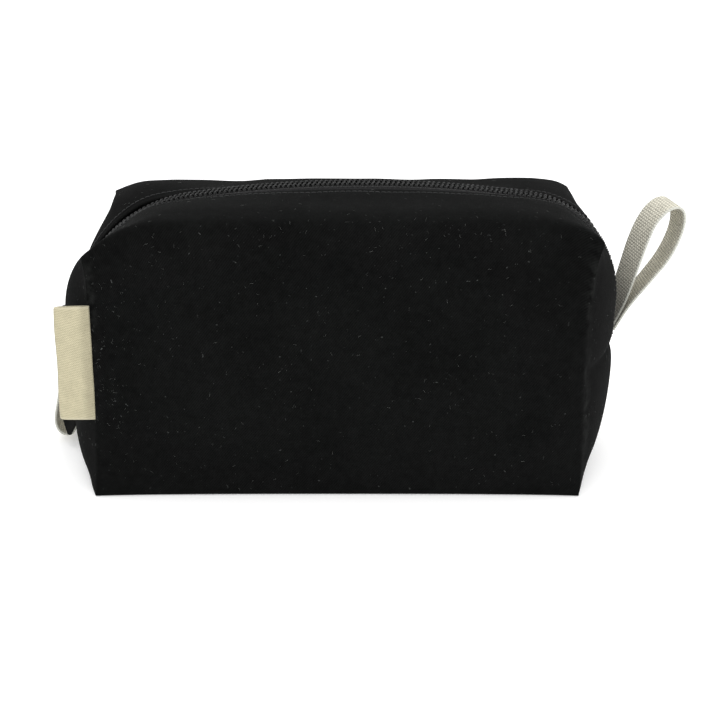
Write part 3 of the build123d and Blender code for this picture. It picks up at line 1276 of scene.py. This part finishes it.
class RepeatTree:
    """A geometry node tree that repeats a bent thread along a line or over a surface."""

    KINDS = ((bpy.types.Material, "NodeSocketMaterial"), (int, "NodeSocketInt"), (float, "NodeSocketFloat"),
             (tuple, "NodeSocketVector"))

    def __init__(self, name: str, **inputs: object) -> None:
        """Makes the tree with its named inputs.

        Args:
            name: The tree's name.
            inputs: Each input's value, by its name in lower case.
        """
        self.tree = bpy.data.node_groups.new(name, "GeometryNodeTree")
        self.graph = Graph(self.tree)
        self.inputs = inputs
        face = self.tree.interface
        face.new_socket("Geometry", in_out="INPUT", socket_type="NodeSocketGeometry")
        self.identifier: dict[str, str] = {}
        for title, value in inputs.items():
            kind = next(kind for sort, kind in self.KINDS if isinstance(value, sort))
            socket = face.new_socket(self.spelled(title), in_out="INPUT", socket_type=kind)
            if not isinstance(value, bpy.types.Material):
                socket.default_value = value
            self.identifier[title] = socket.identifier
        face.new_socket("Geometry", in_out="OUTPUT", socket_type="NodeSocketGeometry")
        self.source = self.tree.nodes.new("NodeGroupInput")

    @staticmethod
    def spelled(title: str) -> str:
        """An input's name as the tree shows it."""
        return title.replace("_", " ").title()

    def given(self, title: str) -> bpy.types.NodeSocket:
        """The socket that brings an input in."""
        return self.source.outputs[self.spelled(title)]

    def thread(self, *corners: bpy.types.NodeSocket | tuple[float, float, float], steps: int,
               sides: int) -> bpy.types.NodeSocket:
        """A short bent thread, from a start through two handles to an end.

        Args:
            corners: Start, two handles and end.
            steps: How many lengths it is cut in.
            sides: How many sides its section has.

        Returns:
            The thread's mesh.
        """
        bend = self.graph.add("GeometryNodeCurvePrimitiveBezierSegment", steps, *corners)
        ring = self.graph.add("GeometryNodeCurvePrimitiveCircle", sides, in_Radius=self.given("thread_radius"))
        tube = self.graph.add("GeometryNodeCurveToMesh", bend, ring, in_Fill_Caps=True)
        return self.graph.add("GeometryNodeSetShadeSmooth", tube)

    def stations(self) -> bpy.types.NodeSocket:
        """The line's points, one for each repeat."""
        line = self.graph.add("GeometryNodeMeshToCurve", self.given("geometry"))
        return self.graph.add("GeometryNodeResampleCurve", line, mode="LENGTH", in_Length=self.given("pitch"))

    def facing(self) -> bpy.types.NodeSocket:
        """A turn about Y that brings X along the line."""
        tangent = self.graph.add("GeometryNodeInputTangent")
        return self.graph.add("FunctionNodeAlignRotationToVector", None, None, tangent, axis="X", pivot_axis="Y")

    def along(self, thing: bpy.types.NodeSocket) -> None:
        """Sets a thing at each station, turned along the line, and ends the tree."""
        self.close(self.graph.add("GeometryNodeInstanceOnPoints", self.stations(), in_Instance=thing,
                                  in_Rotation=self.facing()))

    def close(self, instances: bpy.types.NodeSocket) -> None:
        """Makes the repeats real, sets their material and ends the tree.

        Args:
            instances: The repeats.
        """
        real = self.graph.add("GeometryNodeRealizeInstances", instances)
        worn = self.graph.add("GeometryNodeSetMaterial", real, in_Material=self.given("material"))
        self.tree.links.new(worn, self.tree.nodes.new("NodeGroupOutput").inputs[0])

    def run(self, piece: bpy.types.Object, **changes: object) -> bpy.types.Object:
        """Runs the tree on a piece and leaves the result as a plain mesh.

        Args:
            piece: The piece that carries the line or surface.
            changes: Inputs that differ from the tree's own, by name.

        Returns:
            The same piece, with its new mesh.
        """
        modifier = piece.modifiers.new("repeat", "NODES")
        modifier.node_group = self.tree
        for title, value in {**self.inputs, **changes}.items():
            modifier[self.identifier[title]] = value
        settle(piece)
        return piece


def run_line(name: str, points: np.ndarray) -> bpy.types.Object:
    """A piece that holds only a line of points joined in order.

    Args:
        name: The piece's name.
        points: The points.

    Returns:
        The piece.
    """
    mesh = bpy.data.meshes.new(name)
    mesh.from_pydata([tuple(p) for p in points], [(n, n + 1) for n in range(len(points) - 1)], [])
    piece = link_new(name, mesh)
    return piece


@dataclass
class CoilChain:
    """The closed coil: a row of bent filament teeth on each side of the middle."""

    pitch: float = 2.5 * MM
    filament: float = 0.52 * MM
    root: tuple[float, float, float] = (-0.62 * MM, 4.0 * MM, -0.85 * MM)
    head: tuple[float, float, float] = (0.62 * MM, 0.95 * MM, -0.75 * MM)
    rise: float = 1.75 * MM
    start: float = 1.5 * MM
    end_gap: float = 1.0 * MM
    line_step: float = 1.0 * MM

    def tree(self) -> RepeatTree:
        """The node tree that sets teeth along a line.

        Returns:
            The tree.
        """
        made = RepeatTree("coil_teeth", pitch=self.pitch, thread_radius=self.filament, root=self.root,
                          head=self.head, rise=self.rise, material=WARDROBE.get(COIL))
        graph = made.graph
        lift = graph.add("ShaderNodeCombineXYZ", 0.0, 0.0, made.given("rise"))
        over_root = graph.vector("ADD", made.given("root"), lift)
        over_head = graph.vector("ADD", made.given("head"), lift)
        tooth = made.thread(made.given("root"), over_root, over_head, made.given("head"), steps=6, sides=7)
        made.along(tooth)
        return made

    def build(self) -> list[bpy.types.Object]:
        """Both rows, the back one half a pitch on.

        Returns:
            The front row and the back row.
        """
        tree = self.tree()
        rows = []
        for half in Half:
            start = self.start + (self.pitch / 2 if half is Half.BACK else 0.0)
            stops = np.arange(start, LINE.total - self.end_gap, self.line_step)
            row = run_line(f"coil_teeth_{half.word}", LINE.raised(stops, 0.0, 0.0))
            root, head = ((-half.value * x, half.value * y, z) for x, y, z in (self.root, self.head))
            rows.append(tree.run(row, root=root, head=head))
        return rows


@dataclass
class Topstitch:
    """A row of lockstitch on each side, through the cloth and the tape."""

    offset: float = 12.6 * MM
    pitch: float = 2.9 * MM
    length: float = 2.3 * MM
    thread: float = 0.24 * MM
    sunk: float = 0.9
    proud: float = 1.3
    end_gap: float = 3.0 * MM
    line_step: float = 2.0 * MM
    lift: float = 0.05 * MM

    def tree(self) -> RepeatTree:
        """The node tree that sets stitches along a line.

        Returns:
            The tree.
        """
        made = RepeatTree("stitch_run", pitch=self.pitch, thread_radius=self.thread, length=self.length,
                          material=WARDROBE.get(THREAD))
        graph = made.graph
        half = graph.times(made.given("length"), 0.5)
        back = graph.times(half, -1.0)
        sink, proud = -self.sunk * self.thread, self.proud * self.thread
        corners = [graph.add("ShaderNodeCombineXYZ", along, 0.0, up)
                   for along, up in ((back, sink), (back, proud), (half, proud), (half, sink))]
        made.along(made.thread(*corners, steps=5, sides=6))
        return made

    def build(self, skin: BVHTree) -> list[bpy.types.Object]:
        """Both rows, laid on the cloth.

        Args:
            skin: The outer cloth's surface.

        Returns:
            The front row and the back row.
        """
        tree = self.tree()
        rows = []
        for half in Half:
            stops = np.arange(self.end_gap, LINE.total - self.end_gap, self.line_step)
            points = LINE.raised(stops, half.value * self.offset, 0.0)
            laid = []
            for place in points:
                near, normal, _, _ = skin.find_nearest(Vector(place))
                laid.append(near + normal * self.lift)
            row = run_line(f"topstitch_thread_{half.word}", np.array(laid))
            rows.append(tree.run(row))
        return rows


@dataclass
class LintFibres:
    """Fine pale fibres that cling to the twill, thickest beside the label and along the shoulders."""

    density: float = 42000.0
    length: float = 1.2 * MM
    thread: float = 0.035 * MM
    gather: float = 1.5
    sizes: tuple[float, float] = (0.25, 1.5)
    seed: int = 4

    def build(self, cloth: BagCloth) -> bpy.types.Object:
        """Scatters the fibres over the finished skin.

        Args:
            cloth: The outer cloth.

        Returns:
            One piece that holds every fibre.
        """
        made = RepeatTree("lint_scatter", density=self.density, thread_radius=self.thread, length=self.length,
                          seed=self.seed, material=WARDROBE.get(LINT))
        graph = made.graph
        amount = graph.add("GeometryNodeInputNamedAttribute", "lint", data_type="FLOAT")
        thick = graph.times(graph.math("POWER", amount, self.gather), made.given("density"))
        dots = graph.add("GeometryNodeDistributePointsOnFaces", made.given("geometry"), in_Density=thick,
                         in_Seed=made.given("seed"), distribute_method="RANDOM")
        turn = graph.add("FunctionNodeRandomValue", data_type="FLOAT", out=1)
        turn.node.inputs[3].default_value = 2 * math.pi
        turn.node.inputs["Seed"].default_value = 1
        spin = graph.add("FunctionNodeEulerToRotation", graph.add("ShaderNodeCombineXYZ", 0.0, 0.0, turn))
        face = graph.add("FunctionNodeRotateRotation", dots.node.outputs["Rotation"], spin, rotation_space="LOCAL")
        size = graph.add("FunctionNodeRandomValue", data_type="FLOAT", out=1)
        size.node.inputs[2].default_value, size.node.inputs[3].default_value = self.sizes
        size.node.inputs["Seed"].default_value = 2
        far = graph.add("ShaderNodeCombineXYZ", made.given("length"), 0.0, 0.0)
        low = (0.0, 0.0, 0.03 * MM)
        fibre = made.thread(low, (0.3 * self.length, 0.3 * self.length, 0.2 * MM),
                            (0.6 * self.length, -0.25 * self.length, 0.15 * MM), far, steps=4, sides=3)
        made.close(graph.add("GeometryNodeInstanceOnPoints", dots, in_Instance=fibre, in_Rotation=face,
                             in_Scale=size))
        return made.run(link_new("lint_fibres", cloth.skin.copy()))


# ---------------------------------------------------------------------------------------------------------
# Webbing and label


def flowing(points: Sequence[Sequence[float]], count: int) -> np.ndarray:
    """A smooth line through given points, with the same share of its length between its samples.

    Args:
        points: The points to pass through, in millimetres.
        count: How many samples to return.

    Returns:
        Samples in metres.
    """
    p = np.asarray(points, dtype=float) * MM
    p = np.vstack([2 * p[0] - p[1], p, 2 * p[-1] - p[-2]])
    out = []
    for n in range(1, len(p) - 2):
        t = np.linspace(0, 1, 24, endpoint=False)[:, None]
        a, b, c, d = p[n - 1:n + 3]
        out.append(0.5 * (2 * b + (c - a) * t + (2 * a - 5 * b + 4 * c - d) * t**2
                          + (3 * b - a - 3 * c + d) * t**3))
    line = np.vstack([*out, p[-2:-1]])
    run = np.concatenate([[0.0], np.cumsum(np.linalg.norm(np.diff(line, axis=0), axis=1))])
    even = np.linspace(0, run[-1], count)
    return np.stack([np.interp(even, run, line[:, k]) for k in range(line.shape[1])], axis=1)


@dataclass
class WebbingLoop:
    """A loop of natural webbing, laid between a front edge and a back edge in (x, z)."""

    end: End
    front_edge: Sequence[tuple[float, float]]
    back_edge: Sequence[tuple[float, float]]
    offset: float = 7.0 * MM
    width: float = 20.0 * MM
    thickness: float = 1.3 * MM
    shaded: float = 52.0 * MM
    selvedge: tuple[float, float] = (0.4 * MM, 1.2 * MM)
    eased: float = 0.45 * MM
    rows: int = 260
    lanes: int = 24

    def build(self) -> bpy.types.Object:
        """Lofts the strap between its two edges.

        Returns:
            The strap piece.
        """
        front, back = (flowing(edge, self.rows) for edge in (self.front_edge, self.back_edge))
        across = np.linspace(0, 1, self.lanes)
        points = np.zeros((self.rows, self.lanes, 3))
        for n, t in enumerate(across):
            xz = lerp(front, back, t)
            points[:, n, 0], points[:, n, 2] = xz[:, 0], xz[:, 1]
            points[:, n, 1] = self.offset + t * self.width
        length = np.linalg.norm(np.diff(front, axis=0), axis=1).sum()
        faces = grid_faces(self.rows, self.lanes)
        piece = new_piece(f"webbing_strap_{self.end.name.lower()}", points.reshape(-1, 3), faces, WEBBING)
        run = np.linspace(0, length, self.rows)
        lay_map(piece, np.stack([np.tile(across * self.width, self.rows), np.repeat(run, self.lanes)], axis=1))
        edge = np.tile(np.minimum(across, 1 - across) * self.width, self.rows)
        store(piece, "selvedge", 1 - smoothstep(edge, *self.selvedge))
        # Painted shade: the strap darkens over its shaded length from where it leaves the seam, and a little towards
        # its other end.
        start, finish = (1 - smoothstep(far, 0.0, self.shaded) for far in (run, length - run))
        store(piece, "root", np.repeat(np.maximum(start, 0.3 * finish), self.lanes))
        thicken(piece, self.thickness)
        ease_edges(piece, self.eased, 60)
        settle(piece)
        return piece


RIGHT_LOOP = WebbingLoop(
    End.RIGHT,
    front_edge=((142.5, 64), (149.6, 80), (155.4, 99), (159.4, 112.5), (163.0, 122), (168.5, 128.8), (173.6, 130.9),
                (177.0, 128.8), (177.8, 122.8), (175.6, 113.6), (170.6, 102.6), (162.4, 91.4), (151.6, 77),
                (144.2, 64)),
    back_edge=((142.5, 64), (145.4, 80), (149.0, 95), (152.4, 108.5), (156.4, 119.5), (161.4, 127.6), (167.2, 131.6),
               (172.2, 130.2), (174.4, 123), (173.2, 113.6), (168.2, 101.6), (160.2, 89.5), (150.4, 76), (144.2, 64)))
LEFT_LOOP = WebbingLoop(
    End.LEFT,
    front_edge=((-142.7, 65), (-143.0, 50), (-143.4, 36), (-144.0, 22), (-145.2, 11), (-147.4, 4.9), (-150.4, 3.4),
                (-153.6, 4.2), (-156.0, 7.6), (-156.6, 13), (-154.8, 22), (-152.0, 34), (-148.8, 47), (-146.0, 58),
                (-144.3, 65)),
    back_edge=((-142.7, 65), (-143.2, 50), (-144.2, 36), (-145.6, 22), (-147.6, 11), (-150.8, 5.2), (-154.2, 4.2),
               (-156.8, 6.4), (-158.0, 11), (-158.0, 17), (-156.8, 25), (-154.0, 36), (-150.2, 48), (-146.6, 58),
               (-144.3, 65)))


@dataclass
class LeatherPull:
    """The soft leather pull: slotted over the bridge, hanging down the end, turned and pointed at its tip."""

    hang: Sequence[tuple[float, float]] = ((-145.85, 70.85), (-146.0, 66), (-146.6, 40), (-147.2, 18), (-148.1, 6.6))
    width: float = 9.0 * MM
    arm: float = 2.4 * MM
    slot: tuple[float, float] = (1.75 * MM, 9.6 * MM)
    point: float = 7.0 * MM
    tip_half: float = 0.8 * MM
    turn: float = 54.0
    thickness: float = 1.3 * MM
    eased: float = 0.3 * MM
    rows: int = 120

    def build(self) -> bpy.types.Object:
        """Lays the strip down its hanging line.

        Returns:
            The pull piece.
        """
        line = flowing(self.hang, self.rows)
        run = np.linspace(0, 1, self.rows) * float(np.linalg.norm(np.diff(line, axis=0), axis=1).sum())
        half = self.width / 2
        inner = half - self.arm
        lanes = np.array([-1, -0.85, -0.68, -inner / half, -0.25, 0, 0.25, inner / half, 0.68, 0.85, 1])
        left = run[-1] - run
        reach = lerp(self.tip_half, half, np.clip(left / self.point, 0, 1) ** 0.85)
        angle = math.radians(self.turn) * smoothstep(run, 0.25 * run[-1], 0.8 * run[-1])
        points = np.zeros((self.rows, len(lanes), 3))
        for n, lane in enumerate(lanes):
            points[:, n, 0] = line[:, 0] - lane * reach * np.sin(angle)
            points[:, n, 1] = lane * reach * np.cos(angle)
            points[:, n, 2] = line[:, 1]
        open_lanes = range(3, 7)
        faces = [quad for quad in grid_faces(self.rows, len(lanes))
                 if not (quad[0] % len(lanes) in open_lanes
                         and self.slot[0] < run[quad[0] // len(lanes)] < self.slot[1])]
        piece = new_piece("leather_pull", points.reshape(-1, 3), faces, LEATHER)
        thicken(piece, self.thickness)
        ease_edges(piece, self.eased, 50)
        settle(piece)
        return piece


@dataclass
class FoldedLabel:
    """A cream twill label, folded at the left and sewn into the front corner seam."""

    reach: float = 17.0 * MM
    bottom: float = 41.6 * MM
    top: float = 100.4 * MM
    root_x: float = -121.3 * MM
    root_y: float = -61.3 * MM
    gap: float = 1.8 * MM
    thickness: float = 0.38 * MM
    corner: float = 1.1 * MM
    wave: float = 0.35 * MM
    ripple: float = 0.012
    lean: tuple[float, float] = (-0.7 * MM, 0.1 * MM)
    droop: float = 0.5 * MM
    hem: tuple[float, float] = (0.5 * MM, 1.4 * MM)
    rows: int = 64
    lanes: int = 26

    def build(self) -> bpy.types.Object:
        """Wraps the strip round its fold, with a little wave.

        Returns:
            The label piece.
        """
        t = np.linspace(0, 1, 2 * self.lanes + 1)
        leaf = np.abs(t - 0.5) * 2
        out = self.reach * (1 - leaf)
        bow = np.sqrt(np.clip(1 - leaf**6, 0, 1))
        side = np.where(t < 0.5, -1, 1)
        spread = side * self.gap / 2 * np.clip(1 - (1 - leaf) ** 12, 0, 1) * (0.35 + 0.65 * bow)
        z = np.linspace(0, 1, self.rows)
        z = lerp(z, (1 - np.cos(np.pi * z)) / 2, 0.8)
        points = np.zeros((self.rows, len(t), 3))
        for n, h in enumerate(z):
            near = max(1 - min(h, 1 - h) * (self.top - self.bottom) / self.corner, 0.0)
            cut = 1 - self.corner * (1 - math.sqrt(1 - near**2)) / self.reach
            lean = lerp(*self.lean, h)
            wave = self.wave * math.sin(2.2 * math.pi * h) * (1 - leaf)
            ripple = 1 + self.ripple * math.sin(3 * math.pi * h)
            points[n, :, 0] = self.root_x - out * cut * ripple + lean * (1 - leaf)
            points[n, :, 1] = self.root_y + spread + wave
            points[n, :, 2] = lerp(self.bottom, self.top, h) - self.droop * (1 - leaf) * h
        faces = grid_faces(self.rows, len(t))
        piece = new_piece("label_fold", points.reshape(-1, 3), [f[::-1] for f in faces], LABEL)
        size = self.top - self.bottom
        lay_map(piece, np.stack([np.tile(t * 2 * self.reach, self.rows), np.repeat(z * size, len(t))], axis=1))
        edge = np.repeat(np.minimum(z, 1 - z) * size, len(t))
        store(piece, "selvedge", 1 - smoothstep(edge, *self.hem))
        # Painted shade: both layers of the label darken towards the seam, away from the fold.
        store(piece, "root", np.tile(smoothstep(leaf, 0.55, 0.95), self.rows))
        thicken(piece, self.thickness)
        settle(piece)
        return piece


@dataclass(frozen=True)
class SoftBox:
    """One square area light: where it stands, what it faces, its side in metres and its power in watts."""

    name: str
    place: tuple[float, float, float]
    aim: tuple[float, float, float]
    size: float
    power: float

    def light(self) -> None:
        """Hangs the light and turns it to what it faces."""
        lamp = bpy.data.lights.new(self.name, "AREA")
        lamp.size = self.size
        lamp.energy = self.power
        holder = link_new(self.name, lamp)
        holder.location = self.place
        holder.rotation_euler = (Vector(self.aim) - Vector(self.place)).to_track_quat("-Z", "Y").to_euler()


@dataclass
class Studio:
    """White paper floor, soft lights and the camera."""

    camera_place: tuple[float, float, float] = (9.2 * MM, -738.3 * MM, 327.2 * MM)
    tilt: float = 20.6
    lens_length: float = 74.185
    film: float = 36.0
    floor_half: float = 4.0
    floor_drop: float = 0.5 * MM
    surround: float = 1.0
    boxes: tuple[SoftBox, ...] = (SoftBox("top_box", (0.0, 0.1, 1.3), (0.0, 0.0, 0.0), 1.2, 9.0),
                                  SoftBox("front_box", (0.5, -1.5, 0.9), (0.0, 0.0, 0.08), 1.0, 6.0))

    def build(self) -> None:
        """Sets the whole stage."""
        self.floor()
        self.lights()
        self.camera()
        bpy.context.scene.view_settings.view_transform = "Standard"

    def floor(self) -> None:
        """A wide paper floor just under the base."""
        far, low = self.floor_half, -self.floor_drop
        points = np.array([(-far, -far, low), (far, -far, low), (far, far, low), (-far, far, low)])
        new_piece("paper_floor", points, [(0, 1, 2, 3)], PAPER, smooth=False)

    def lights(self) -> None:
        """An even white surround with a soft box above and one in front."""
        world = bpy.data.worlds.new("studio")
        bpy.context.scene.world = world
        world.use_nodes = True
        back = world.node_tree.nodes["Background"]
        back.inputs["Color"].default_value = rgb((1.0, 1.0, 1.0))
        back.inputs["Strength"].default_value = self.surround
        for box in self.boxes:
            box.light()

    def camera(self) -> None:
        """A long lens in front of the bag, looking down on it."""
        lens = bpy.data.cameras.new("camera")
        lens.sensor_width = self.film
        lens.lens = self.lens_length
        camera = link_new("camera", lens)
        camera.location = self.camera_place
        camera.rotation_euler = (math.radians(90.0 - self.tilt), 0.0, 0.0)
        bpy.context.scene.camera = camera


OUTER_NODES = ("base_panel", "front_panel", "back_panel", "top_panel_front", "top_panel_back",
               "left_end_lower", "left_end_upper_front", "left_end_upper_back",
               "right_end_lower", "right_end_upper_front", "right_end_upper_back")


def mount(piece: bpy.types.Object, body: str, slot: str, *nodes: str) -> None:
    """Fixes a finished piece to its body, hides the frame nodes it stands for, and logs it.

    Args:
        piece: The finished piece.
        body: The body it rides on.
        slot: The material slot it takes its finish from; not used.
        nodes: The frame nodes it replaces.
    """
    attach(piece, body)
    if nodes:
        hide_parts(*nodes)
    LOG.info("%s: %d faces on %s", piece.name, len(piece.data.polygons), body)


def main() -> None:
    """Builds every piece in order."""
    logging.basicConfig(level=logging.INFO, format="%(name)s: %(message)s")
    Studio().build()
    cloth = BagCloth()
    mount(cloth.build(), "bag", "black_twill", *OUTER_NODES)
    mount(Lining().build(cloth), "bag", "lining_cloth", "lining_front", "lining_back")
    skin = cloth.surface()
    for half in Half:
        mount(ZipperTape(half).build(skin), "bag", "zipper_tape", f"zipper_tape_{half.word}")
    for half, row in zip(Half, CoilChain().build()):
        mount(row, "bag", "zipper_coil", f"zipper_coil_{half.word}")
    for half, row in zip(Half, Topstitch().build(skin)):
        mount(row, "bag", "sewing_thread", f"topstitch_{half.word}")
    mount(LintFibres().build(cloth), "bag", "black_twill")
    mount(RIGHT_LOOP.build(), "loop_right", "natural_webbing", "webbing_loop_right")
    mount(LEFT_LOOP.build(), "loop_left", "natural_webbing", "webbing_loop_left")
    label = FoldedLabel()
    leaf = label.build()
    mount(leaf, "label_flap", "label_cloth", "label")
    mount(LeatherPull().build(), "pull", "pull_leather", "pull_tab")
    for name in ("slider_body", "slider_bridge"):
        for holder in frame["nodes"][name].material_slots:
            holder.material = WARDROBE.get(ENAMEL)


if __name__ == "__main__":
    main()
